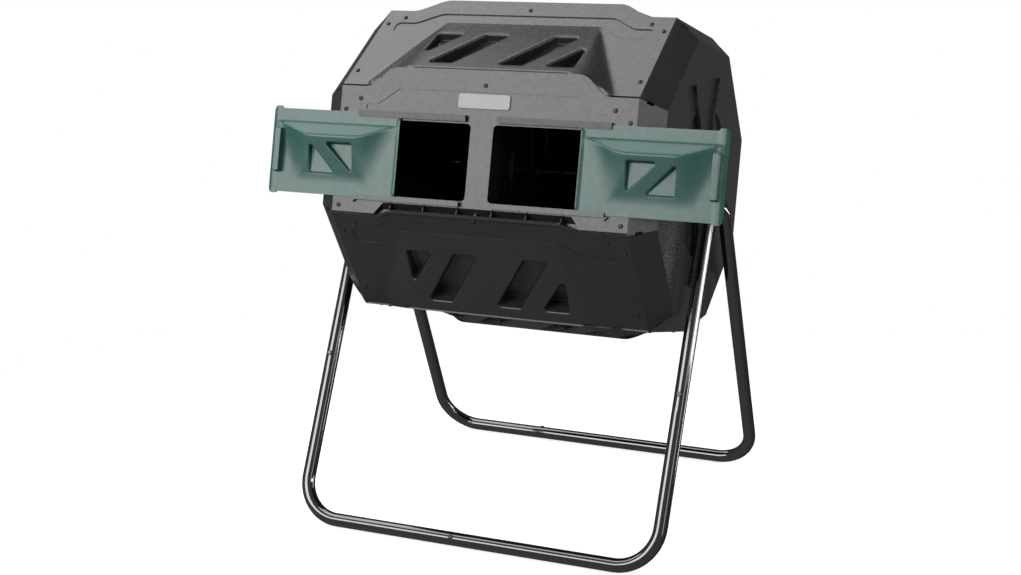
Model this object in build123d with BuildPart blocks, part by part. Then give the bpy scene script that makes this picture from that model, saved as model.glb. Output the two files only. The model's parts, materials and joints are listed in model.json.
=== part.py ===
"""Two-chamber compost tumbler on a tube stand, in millimetres.

+X runs along the axle, -Y is the door side and +Z is up. The origin is on the ground under the axle.
"""

from build123d import *
from math import atan2, cos, degrees, radians, sin, tan
import os

# Drum
AXLE_HEIGHT = 641.0
TILT = 12.87  # how far the door face leans back from upright
APOTHEM = 278.0  # axle to the outside of a face
HALF_LENGTH = 281.3  # half the length of the eight panels
WALL = 3.0
HALF_SIDE = APOTHEM * tan(radians(22.5))
SEAT = 0.05  # play of a moulded part lying inside another

# End caps
CAP_LENGTH = 40.5
CAP_DRAW_IN = 36.0  # how much nearer the axle the flat end is
CAP_FLANGE = 28.0  # reach of the flange under the panels
RECESS_RADIUS = 140.0
RECESS_DEPTH = 6.0
RIB_WIDTH = 7.0
RIB_HEIGHT = 7.0
CAP_SLOT = (6.0, 14.0)
SLOT_AT = 0.4  # share of the way from the panels to the flat end

# Panel boss, pockets, channel and flap, in face coordinates
BOSS_TOP = 80.0
BOSS_BASE = -118.0
BOSS_HEIGHT = 30.3
BOSS_HALF_TOP = 150.0
BOSS_HALF_FLOOR = 170.0
BOSS_HALF_BASE = 240.0
ROOT = 10.0  # how far boss profiles run on below the face
POCKET_FLOOR = -8.0
POCKET_CENTRE = -12.5
CHANNEL_DEPTH = 1.4
FLAP_REACH = 36.3
FLAP_HALF = 168.0
FLAP_RUN = 68.0  # length of the flap's sloping shoulder
LOW_FLAP_REACH = 18.0
LOW_FLAP_HALF = 150.0
LOW_FLAP_RUN = 54.0
LOW_LIP = (6.5, 7.0)  # thick edge of the lower front flap

# Door panel and rails
WINDOW_IN = 21.5
WINDOW_OUT = 245.0
WINDOW_LOW = -78.0
WINDOW_HIGH = 57.5
RAIL_IN = 30.0
RAIL_OUT = 240.0
RAIL_WALL = 3.0
DOOR_LOW = -84.0
DOOR_HIGH = 68.0
LIP_LOW = -79.0
LIP_HIGH = 60.5
RAIL_GAP = 0.8
LIP_UNDER = 5.5
LIP_FRONT = 8.5
LIP_LEAN = 1.2  # how far the upper rail's front leans in
TROUGH_DEPTH = 12.0
TROUGH_V = -90.0
WEB = 2.4
LUG_RADIUS = 5.0
BADGE = (98.0, 26.0, 3.0)
BADGE_V = 97.0

# Doors
DOOR_LENGTH = 258.0
DOOR_BACK = 1.5  # clearance between a door and the panel
DOOR_WALL = 3.0
DOOR_OPEN_LEFT = 147.0
DOOR_OPEN_RIGHT = 176.0
DOOR_SHUT = 10.0  # inner edge of a shut door from the middle
DOOR_BOSS_HEIGHT = 16.0
DOOR_END = 19.0  # length of the thick outer end
DOOR_END_HIGH = 159.0
DOOR_END_V = -7.5
DOOR_BAR = (14.0, 80.0, 12.0)
DOOR_BAR_AT = 241.0  # from a door's inner edge
DOOR_BEAD = (4.0, 132.0, 1.5)
GRIP_HALF_TOP = 111.0
GRIP_HALF_CREST = 59.0
GRIP_WALL = 2.5
CUP_WALL = 2.2
LEDGE = 44.0
CREST = 22.0
FOOT = -55.0
PLATE_FRONT = DOOR_BACK + DOOR_WALL
DOOR_MIDDLE = DOOR_LENGTH / 2
DOOR_POCKETS = [
    [(87.5, 10), (143, 10), (87.5, -44)],
    [(174.5, 9), (174.5, -46), (120, -46)],
]

# Stand
TUBE_RADIUS = 12.5
TUBE_WALL = 1.5
LEG_X = 348.7
FOOT_Y = 320.0
LEG_OFFSET = 22.0  # leg centre line from the axle, at axle height
BEND = 75.0
LEG_SEAM = 0.6  # share of the way from axle height to the base
SPIGOT = 42.0
SPIGOT_RADIUS = 10.9
PADDLE = 6.0  # thickness of the flattened leg end
PADDLE_EYE = 18.0
PADDLE_NECK = 15.0
PADDLE_HALF_WIDTH = 17.0
FLATTENED = 70.0  # length over which a leg goes from tube to paddle, to the axle
TAPERED = 28.0
SCREW_UP = 28.0  # joint screw above a leg seam
BASE_SCREW_FRONT = 34.0
BASE_SCREW_REAR = 125.0

# Fasteners
SCREW_HEAD = 4.0
SCREW_SHANK = 1.6
SCREW_HOLE = 1.9
STAND_HEAD = 4.6
STAND_SHANK = 2.5
STAND_HOLE = 2.8
BOLT_RADIUS = 4.0
BOLT_HEAD = (7.5, 5.3)
WASHER = (12.0, 1.6)
PLUG = 32.0
AXLE_WALL = 2.0
AXLE_HALF = LEG_X - PADDLE
AXLE_PLAY = 0.06
HUB_RADIUS = 20.0
HUB_WALL = 4.0
HUB_FLANGE = (31.0, 4.0)
HUB_IN = 300.0
HUB_OUT = AXLE_HALF - 1.0
DIVIDER_HUB = 12.0
DIVIDER_BEAD = (5.0, 6.5)  # width and height of the ring on the divider

os.makedirs("parts", exist_ok=True)


def save(builder, name):
    """Label a finished piece, write its STEP file and print its solids."""
    builder.part.label = name
    export_step(builder.part, f"parts/{name}.step")
    print(name, len(builder.part.solids()))


def face_plane(angle, lift=0.0):
    """Plane on one drum face: x along the axle, y up the face, z outward."""
    lean = radians(TILT + angle)
    out = Vector(0, -cos(lean), sin(lean))
    centre = Vector(0, 0, AXLE_HEIGHT) + out * (APOTHEM + lift)
    return Plane(origin=centre, x_dir=(1, 0, 0), z_dir=out)


def section_plane(face, u=0.0):
    """Plane across a face: x up the face, y outward, z along the axle."""
    return Plane(origin=face.from_local_coords((u, 0, 0)), x_dir=face.y_dir, z_dir=face.x_dir)


def through(face, first, second, third):
    """Plane through three points given in face coordinates."""
    a, b, c = (face.from_local_coords(point) for point in (first, second, third))
    return Plane(origin=a, x_dir=b - a, z_dir=(b - a).cross(c - a))


def wedge(face, profile, reach, sides, inset=0.0):
    """Profile of (v, w) points carried along the axle, trimmed by side planes and shrunk by an inset."""
    with BuildPart(mode=Mode.PRIVATE) as block:
        with BuildSketch(section_plane(face)):
            with BuildLine():
                Polyline(*profile, close=True)
            make_face()
            if inset:
                offset(amount=-inset, kind=Kind.INTERSECTION)
        extrude(amount=reach, both=True)
        for side in sides:
            split(bisect_by=side.offset(-inset), keep=Keep.BOTTOM)
    return block.part


def boss(face, inset=0.0):
    """Long sloping boss of a plain panel, or its hollow when inset by the wall."""
    slope = BOSS_HEIGHT / (BOSS_TOP - BOSS_BASE)
    thick_end = BOSS_BASE - 20
    profile = [
        (BOSS_TOP + ROOT / slope, -ROOT),
        (thick_end, slope * (BOSS_TOP - thick_end)),
        (thick_end, -ROOT),
    ]
    top = (BOSS_HALF_TOP, BOSS_TOP, 0)
    base = (BOSS_HALF_BASE, BOSS_BASE, 0)
    ridge = (BOSS_HALF_FLOOR, BOSS_BASE, BOSS_HEIGHT)
    right = through(face, top, ridge, base)
    left = through(face, mirrored(top), mirrored(base), mirrored(ridge))
    return wedge(face, profile, BOSS_HALF_BASE + 10, [right, left], inset)


def mirrored(point):
    """The same point on the other side of the middle."""
    return (-point[0], point[1], point[2])


def floor_plane(face):
    """Plane of a boss's sloping front."""
    return through(
        face,
        (BOSS_HALF_TOP, BOSS_TOP, 0),
        (-BOSS_HALF_TOP, BOSS_TOP, 0),
        (-BOSS_HALF_FLOOR, BOSS_BASE, BOSS_HEIGHT),
    )


POCKETS = [
    [(-150, 40), (-99, 40), (-150, -32)],
    [(-56, 40), (-10, 40), (-79, -65), (-125, -65)],
]
POCKETS += [[(-u, 2 * POCKET_CENTRE - v) for u, v in outline] for outline in POCKETS]


def pocket_block(face, grow, floor):
    """Prisms of the four pockets, from their floor to the boss's front."""
    with BuildPart(mode=Mode.PRIVATE) as block:
        with BuildSketch(face.offset(floor)):
            for outline in POCKETS:
                with BuildLine():
                    Polyline(*outline, close=True)
                make_face()
            fillet(vertices(), 3.5)
            if grow:
                offset(amount=grow)
        extrude(amount=45)
        if grow:
            split(bisect_by=floor_plane(face), keep=Keep.BOTTOM)
    return block.part


def flap_edge(reach, half_top, run):
    """Upper outline of a panel: straight ends with a raised flap between."""
    with BuildLine(mode=Mode.PRIVATE) as edge:
        shoulder = (half_top + run, HALF_SIDE)
        top = (half_top, HALF_SIDE + reach)
        Line((HALF_LENGTH, HALF_SIDE), shoulder)
        Spline(shoulder, top, tangents=[(-1, 0), (-1, 0)])
        Line(top, (-top[0], top[1]))
        Spline((-top[0], top[1]), (-shoulder[0], shoulder[1]), tangents=[(-1, 0), (-1, 0)])
        Line((-shoulder[0], shoulder[1]), (-HALF_LENGTH, HALF_SIDE))
        Line((-HALF_LENGTH, HALF_SIDE), (-HALF_LENGTH, -HALF_SIDE - 5))
        Line((-HALF_LENGTH, -HALF_SIDE - 5), (HALF_LENGTH, -HALF_SIDE - 5))
        Line((HALF_LENGTH, -HALF_SIDE - 5), (HALF_LENGTH, HALF_SIDE))
    return edge.line


def screw_spots(angle):
    """Screw places of the face at this angle: the flap's middle, then pairs towards the ends."""
    low_pair = (269, -99.7) if angle == 0 else (270, -71)
    pairs = [(242, 93), (270, 73), low_pair]
    middle = (0, 120) if angle == LOW_FRONT else (0, 125)
    return [middle] + [(s * u, v) for u, v in pairs for s in (-1, 1)]


LOW_FRONT = 315
PANELS = {
    "panel_upper_front": 45,
    "panel_top": 90,
    "panel_upper_back": 135,
    "panel_back": 180,
    "panel_lower_back": 225,
    "panel_bottom": 270,
    "panel_lower_front": LOW_FRONT,
}


def drills(angles):
    """Screw holes of the faces at these angles."""
    with BuildPart(mode=Mode.PRIVATE) as block:
        for angle in angles:
            with BuildSketch(face_plane(angle, -16)):
                with Locations(*screw_spots(angle)):
                    Circle(SCREW_HOLE)
            extrude(amount=20)
    return block.part


# --- Plain panels ---
for name, angle in PANELS.items():
    face = face_plane(angle)
    below = face_plane(angle - 45, -WALL)
    low = angle == LOW_FRONT
    flap = (LOW_FLAP_REACH, LOW_FLAP_HALF, LOW_FLAP_RUN) if low else (FLAP_REACH, FLAP_HALF, FLAP_RUN)
    edge = flap_edge(*flap)
    outer = boss(face)
    corner = face_plane(angle - 45, -2 * WALL)
    inner = split(boss(face, WALL), bisect_by=corner, keep=Keep.BOTTOM, mode=Mode.PRIVATE)
    cups = pocket_block(face, 2.5, POCKET_FLOOR - 2.5)
    hollows = pocket_block(face, 0, POCKET_FLOOR)
    holes = drills([angle, (angle - 45) % 360])
    with BuildPart() as panel:
        with BuildSketch(face):
            add(edge)
            make_face()
        extrude(amount=-WALL)
        add(outer)
        split(bisect_by=face.offset(-WALL), keep=Keep.TOP)
        split(bisect_by=below, keep=Keep.BOTTOM)
        add(inner, mode=Mode.SUBTRACT)
        add(cups)
        add(hollows, mode=Mode.SUBTRACT)
        with BuildSketch(face):
            with BuildLine():
                FilletPolyline(
                    (-252, 78), (-214, 78), (-170, 108.5), (170, 108.5), (214, 78), (252, 78),
                    (252, 48.5), (197, 48.5), (155, 81.5), (-155, 81.5), (-197, 48.5), (-252, 48.5),
                    radius=6, close=True,
                )
            make_face()
        extrude(amount=-CHANNEL_DEPTH, mode=Mode.SUBTRACT)
        add(holes, mode=Mode.SUBTRACT)
        if low:
            with BuildSketch(section_plane(face, 5 - LOW_FLAP_HALF)):
                with Locations((HALF_SIDE + LOW_FLAP_REACH - 2.5, 0.5)):
                    RectangleRounded(*LOW_LIP, 3)
            extrude(amount=2 * (LOW_FLAP_HALF - 5))
    save(panel, name)

# --- Door panel ---
face = face_plane(0)
below = face_plane(-45, -WALL)
edge = flap_edge(FLAP_REACH, FLAP_HALF, FLAP_RUN)
holes = drills([0, LOW_FRONT])
lug_spot = screw_spots(LOW_FRONT)[0]
web_top = DOOR_HIGH + RAIL_GAP
web_low = DOOR_LOW - RAIL_GAP
rail_top = [
    (web_top, -1), (web_top, LIP_UNDER), (LIP_HIGH, LIP_UNDER), (LIP_HIGH, LIP_FRONT - LIP_LEAN),
    (web_top + RAIL_WALL, LIP_FRONT), (web_top + RAIL_WALL, -1),
]
rail_low = [
    (web_low, -1), (web_low, LIP_UNDER), (LIP_LOW, LIP_UNDER), (LIP_LOW, LIP_FRONT),
    (web_low - RAIL_WALL, LIP_FRONT), (web_low - RAIL_WALL, -1),
]
trough = [
    (201, -125), (201, -HALF_SIDE), (179, TROUGH_V), (-179, TROUGH_V), (-201, -HALF_SIDE), (-201, -125),
]
skin = WALL / cos(radians(45))
trough_slope = [(TROUGH_V, 0), (TROUGH_V, -TROUGH_DEPTH), (TROUGH_V - TROUGH_DEPTH, -TROUGH_DEPTH)]
slope_back = [
    (TROUGH_V + WALL + 1, -WALL), (TROUGH_V + skin - WALL, -WALL),
    (TROUGH_V + skin - TROUGH_DEPTH - WALL - 1, -TROUGH_DEPTH - WALL - 1),
    (TROUGH_V + WALL + 1, -TROUGH_DEPTH - WALL - 1),
]
with BuildPart() as door_panel:
    with BuildSketch(face):
        add(edge)
        make_face()
    extrude(amount=-WALL)
    with BuildSketch(face):
        with BuildLine():
            Polyline(*trough, close=True)
        make_face()
        offset(amount=WALL, kind=Kind.INTERSECTION)
    extrude(amount=-TROUGH_DEPTH - WALL)
    with BuildSketch(face):
        with BuildLine():
            Polyline(*trough, close=True)
        make_face()
    extrude(amount=-TROUGH_DEPTH, mode=Mode.SUBTRACT)
    for outline, half, mode in ((trough_slope, 188, Mode.ADD), (slope_back, 195, Mode.SUBTRACT)):
        with BuildSketch(section_plane(face, -half)):
            with BuildLine():
                Polyline(*outline, close=True)
            make_face()
        extrude(amount=2 * half, mode=mode)
    for u in (-163, -98, -33, 33, 98, 163):
        with BuildSketch(section_plane(face, u - WEB / 2)):
            with BuildLine():
                Polyline(
                    (-89, -1), (-89, 1), (-101, 7), (-130, -TROUGH_DEPTH - 1), (-102, -TROUGH_DEPTH - 1),
                    close=True,
                )
            make_face()
        extrude(amount=WEB)
    with BuildSketch(below):
        with Locations(lug_spot):
            Circle(LUG_RADIUS)
    extrude(amount=-30)
    split(bisect_by=face.offset(-TROUGH_DEPTH - WALL), keep=Keep.TOP)
    split(bisect_by=below, keep=Keep.BOTTOM)
    for side in (-1, 1):
        with BuildSketch(face):
            with Locations((side * (WINDOW_IN + WINDOW_OUT) / 2, (WINDOW_LOW + WINDOW_HIGH) / 2)):
                RectangleRounded(WINDOW_OUT - WINDOW_IN, WINDOW_HIGH - WINDOW_LOW, 8)
        extrude(amount=-WALL, mode=Mode.SUBTRACT)
        start = RAIL_IN if side > 0 else -RAIL_OUT
        for rail in (rail_top, rail_low):
            with BuildSketch(section_plane(face, start)):
                with BuildLine():
                    Polyline(*rail, close=True)
                make_face()
            extrude(amount=RAIL_OUT - RAIL_IN)
        with BuildSketch(face):
            with BuildLine():
                Polyline((side * 232, -86), (side * 246, -86), (side * 239, -93), close=True)
            make_face()
        extrude(amount=LIP_UNDER)
    with BuildSketch(face):
        with BuildLine():
            FilletPolyline(
                (-229, 74), (-229, 84), (-207, 84), (-166, 113), (166, 113), (207, 84), (229, 84), (229, 74),
                radius=3, close=True,
            )
        make_face()
    extrude(amount=-CHANNEL_DEPTH, mode=Mode.SUBTRACT)
    add(holes, mode=Mode.SUBTRACT)
save(door_panel, "door_panel")

# --- Name badge, left blank ---
with BuildPart() as name_badge:
    with BuildSketch(face.offset(-CHANNEL_DEPTH)):
        with Locations((0, BADGE_V)):
            RectangleRounded(BADGE[0], BADGE[1], 4.5)
    extrude(amount=BADGE[2])
    fillet(name_badge.faces().sort_by(Axis(face.origin, face.z_dir))[-1].edges(), 1.0)
save(name_badge, "name_badge")


# --- Sliding doors ---
def door_boss(face, middle, inset=0.0):
    """Awning-shaped grip of a door: a ledge on top and a front that slopes back to the plate."""
    rise = DOOR_BOSS_HEIGHT
    below = 6.0
    profile = [
        (LEDGE + below * (LEDGE - CREST) / rise, PLATE_FRONT - below),
        (CREST, PLATE_FRONT + rise),
        (FOOT - below * (CREST - FOOT) / rise, PLATE_FRONT - below),
    ]
    sides = []
    for hand in (-1, 1):
        top = (middle + hand * GRIP_HALF_TOP, LEDGE, PLATE_FRONT)
        ridge = (middle + hand * GRIP_HALF_CREST, CREST, PLATE_FRONT + rise)
        foot = (middle + hand * GRIP_HALF_CREST, FOOT, PLATE_FRONT)
        order = (top, ridge, foot) if hand > 0 else (top, foot, ridge)
        sides.append(through(face, *order))
    return wedge(face, profile, 2 * DOOR_LENGTH, sides, inset)


def door_front(face, middle):
    """Plane of the grip's sloping front."""
    foot = (middle, FOOT, PLATE_FRONT)
    aside = (middle + GRIP_HALF_CREST, FOOT, PLATE_FRONT)
    return through(face, foot, aside, (middle, CREST, PLATE_FRONT + DOOR_BOSS_HEIGHT))


def door_cups(face, edge, side, grow, low):
    """Prisms of the two grip pockets."""
    with BuildPart(mode=Mode.PRIVATE) as block:
        with BuildSketch(face.offset(low)):
            for outline in DOOR_POCKETS:
                with BuildLine():
                    Polyline(*[(side * (edge + d), v) for d, v in outline], close=True)
                make_face()
            fillet(vertices(), 3)
            if grow:
                offset(amount=grow)
        extrude(amount=40)
        if grow:
            split(bisect_by=door_front(face, side * (edge + DOOR_MIDDLE)), keep=Keep.BOTTOM)
    return block.part


for name, side, opened in (("door_left", -1, DOOR_OPEN_LEFT), ("door_right", 1, DOOR_OPEN_RIGHT)):
    inner_edge = DOOR_SHUT + opened
    middle = side * (inner_edge + DOOR_MIDDLE)
    grip = split(door_boss(face, middle), bisect_by=face.offset(DOOR_BACK), keep=Keep.TOP, mode=Mode.PRIVATE)
    grip_hollow = door_boss(face, middle, GRIP_WALL)
    cups = door_cups(face, inner_edge, side, CUP_WALL, DOOR_BACK)
    hollows = door_cups(face, inner_edge, side, 0, DOOR_BACK + CUP_WALL)
    end_u = side * (inner_edge + DOOR_LENGTH - DOOR_END / 2)
    bar_u = side * (inner_edge + DOOR_BAR_AT)
    with BuildPart() as door:
        with BuildSketch(face.offset(DOOR_BACK)):
            with Locations((middle, (DOOR_HIGH + DOOR_LOW) / 2)):
                Rectangle(DOOR_LENGTH, DOOR_HIGH - DOOR_LOW)
        extrude(amount=DOOR_WALL)
        with BuildSketch(face.offset(3.2)):
            with Locations((end_u, DOOR_END_V)):
                RectangleRounded(DOOR_END, DOOR_END_HIGH, 8)
        extrude(amount=3)
        add(grip)
        add(grip_hollow, mode=Mode.SUBTRACT)
        add(cups)
        add(hollows, mode=Mode.SUBTRACT)
        with BuildSketch(face.offset(PLATE_FRONT)):
            with Locations((bar_u, -8)):
                RectangleRounded(DOOR_BAR[0], DOOR_BAR[1], 3)
        extrude(amount=DOOR_BAR[2], taper=6)
        with BuildSketch(face.offset(PLATE_FRONT)):
            with Locations((side * (inner_edge + DOOR_BEAD[0] / 2), -9)):
                Rectangle(DOOR_BEAD[0], DOOR_BEAD[1])
        extrude(amount=DOOR_BEAD[2])
    save(door, name)

# --- End caps ---
cap_taper = degrees(atan2(CAP_DRAW_IN, CAP_LENGTH))
cap_skin = WALL / cos(radians(cap_taper))


def axle_plane(x, side=1.0, turned=0.0):
    """Plane across the axle facing outward on one side, its x axis turned up from level at the front."""
    lean = radians(turned)
    return Plane(origin=(side * x, 0, AXLE_HEIGHT), x_dir=(0, -cos(lean), sin(lean)), z_dir=(side, 0, 0))


def band_side(s):
    """One edge of the upright band across the hub, flaring outward towards both ends."""
    for t in (1, -1):
        Spline((s * 36, t * 92), (s * 55, t * 140), (s * 73, t * 180), tangents=[(0, t), (s * 0.45, t)])
    Line((s * 36, -92), (s * 36, 92))


def band():
    """Face of the upright band across the hub."""
    with BuildSketch(mode=Mode.PRIVATE) as outline:
        with BuildLine():
            for s in (1, -1):
                band_side(s)
                Line((-73, s * 180), (73, s * 180))
        make_face()
    return outline.sketch


def ribs(plane, height):
    """The two raised ribs along the band's edges."""
    with BuildPart(mode=Mode.PRIVATE) as block:
        with BuildSketch(plane):
            for s in (1, -1):
                with BuildLine():
                    band_side(s)
                trace(line_width=RIB_WIDTH)
        extrude(amount=height)
    return block.part


all_holes = drills(range(0, 360, 45))
for name, side in (("end_cap_left", -1), ("end_cap_right", 1)):
    rim = axle_plane(HALF_LENGTH, side, TILT)
    flat = HALF_LENGTH + CAP_LENGTH
    cap_ribs = ribs(axle_plane(flat - WALL, side), WALL + RIB_HEIGHT)
    with BuildPart() as cap:
        with BuildSketch(rim):
            RegularPolygon(APOTHEM, 8, major_radius=False, rotation=22.5)
        extrude(amount=CAP_LENGTH, taper=cap_taper)
        with BuildSketch(rim):
            RegularPolygon(APOTHEM - cap_skin, 8, major_radius=False, rotation=22.5)
        extrude(amount=CAP_LENGTH - WALL, taper=cap_taper, mode=Mode.SUBTRACT)
        with BuildSketch(axle_plane(HALF_LENGTH + 2, side, TILT)):
            RegularPolygon(APOTHEM - WALL - SEAT, 8, major_radius=False, rotation=22.5)
            RegularPolygon(APOTHEM - 2 * WALL, 8, major_radius=False, rotation=22.5, mode=Mode.SUBTRACT)
        extrude(amount=-CAP_FLANGE - 2)
        with BuildSketch(axle_plane(flat - WALL - RECESS_DEPTH, side)):
            Circle(RECESS_RADIUS + WALL)
        extrude(amount=RECESS_DEPTH + WALL)
        with BuildSketch(axle_plane(flat - RECESS_DEPTH, side)):
            Circle(RECESS_RADIUS)
            add(band(), mode=Mode.SUBTRACT)
        extrude(amount=RECESS_DEPTH, mode=Mode.SUBTRACT)
        add(cap_ribs)
        for corner in range(8):
            around = radians(TILT + 22.5 + 45 * corner)
            out = Vector(0, -cos(around), sin(around))
            reach = (APOTHEM - SLOT_AT * CAP_DRAW_IN) / cos(radians(22.5))
            along = Vector(side * CAP_LENGTH, 0, 0) - out * (CAP_DRAW_IN / cos(radians(22.5)))
            spot = Vector(side * (HALF_LENGTH + SLOT_AT * CAP_LENGTH), 0, AXLE_HEIGHT) + out * reach
            tangent = Vector(0, sin(around), cos(around))
            with BuildSketch(Plane(origin=spot, x_dir=along, z_dir=along.cross(tangent))):
                Rectangle(CAP_SLOT[1], CAP_SLOT[0])
            extrude(amount=8, both=True, mode=Mode.SUBTRACT)
        with BuildSketch(axle_plane(HUB_IN, side)):
            Circle(HUB_RADIUS + HUB_WALL)
        extrude(amount=flat - HUB_IN)
        with BuildSketch(axle_plane(HUB_IN, side)):
            Circle(HUB_RADIUS + 0.02)
        extrude(amount=80, mode=Mode.SUBTRACT)
        add(all_holes, mode=Mode.SUBTRACT)
    save(cap, name)

for name, side in (("hub_bushing_left", -1), ("hub_bushing_right", 1)):
    with BuildPart() as bushing:
        with BuildSketch(axle_plane(HUB_IN, side)):
            Circle(HUB_RADIUS)
        extrude(amount=HUB_OUT - HUB_IN)
        with BuildSketch(axle_plane(HALF_LENGTH + CAP_LENGTH, side)):
            Circle(HUB_FLANGE[0])
        extrude(amount=HUB_FLANGE[1])
        with BuildSketch(axle_plane(HUB_IN - 1, side)):
            Circle(TUBE_RADIUS + AXLE_PLAY)
        extrude(amount=80, mode=Mode.SUBTRACT)
        chamfer(bushing.edges().filter_by(GeomType.CIRCLE).group_by(Axis.X)[-1 if side > 0 else 0], 0.8)
    save(bushing, name)

# --- Divider between the chambers, in two halves ---
for name, side in (("divider_front", -1), ("divider_rear", 1)):
    rib_left = ribs(Plane(origin=(0, 0, AXLE_HEIGHT), x_dir=(0, 1, 0), z_dir=(1, 0, 0)), 5)
    with BuildPart() as divider:
        with BuildSketch(axle_plane(-WALL / 2, 1, TILT)):
            RegularPolygon(APOTHEM - WALL - SEAT, 8, major_radius=False, rotation=22.5)
        extrude(amount=WALL)
        with BuildSketch(axle_plane(-DIVIDER_BEAD[1], 1)):
            Circle(RECESS_RADIUS + DIVIDER_BEAD[0] / 2)
            Circle(RECESS_RADIUS - DIVIDER_BEAD[0] / 2, mode=Mode.SUBTRACT)
        extrude(amount=2 * DIVIDER_BEAD[1])
        with BuildSketch(axle_plane(-DIVIDER_HUB, 1)):
            Circle(HUB_RADIUS + HUB_WALL)
        extrude(amount=2 * DIVIDER_HUB)
        add(rib_left)
        mirror(about=Plane.YZ)
        with BuildSketch(axle_plane(-20, 1)):
            Circle(HUB_RADIUS + 0.02)
        extrude(amount=40, mode=Mode.SUBTRACT)
        with BuildSketch(section_plane(face_plane(0), -20)):
            with BuildLine():
                Polyline((-86, 5), (-86, -15.5), (-130, -15.5), (-130, 5), close=True)
            make_face()
        extrude(amount=40, mode=Mode.SUBTRACT)
        split(bisect_by=Plane(origin=(0, 0, AXLE_HEIGHT), z_dir=(0, side, 0)), keep=Keep.TOP)
    save(divider, name)

with BuildPart() as divider_bushing:
    with BuildSketch(axle_plane(-DIVIDER_HUB - 2, 1)):
        Circle(HUB_RADIUS)
        Circle(TUBE_RADIUS + AXLE_PLAY, mode=Mode.SUBTRACT)
    extrude(amount=2 * DIVIDER_HUB + 4)
save(divider_bushing, "divider_bushing")

# --- Panel screws ---
with BuildPart() as panel_screws:
    for angle in range(0, 360, 45):
        face = face_plane(angle)
        with BuildSketch(face):
            with Locations(*screw_spots(angle)):
                Circle(SCREW_HEAD)
        extrude(amount=2.4, taper=18)
        with BuildSketch(face):
            with Locations(*screw_spots(angle)):
                Circle(SCREW_SHANK)
        extrude(amount=-9)
save(panel_screws, "panel_screws")


# --- Stand ---
def leg_frame(side, end):
    """Plane of one leg: origin where the leg's line meets the base bar, x along the bar, y up the leg."""
    corner = Vector(side * LEG_X, end * FOOT_Y, TUBE_RADIUS)
    top = Vector(side * LEG_X, end * LEG_OFFSET, AXLE_HEIGHT)
    bar = Vector(-side, 0, 0)
    return Plane(origin=corner, x_dir=bar, z_dir=bar.cross(top - corner)), (top - corner).length


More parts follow.
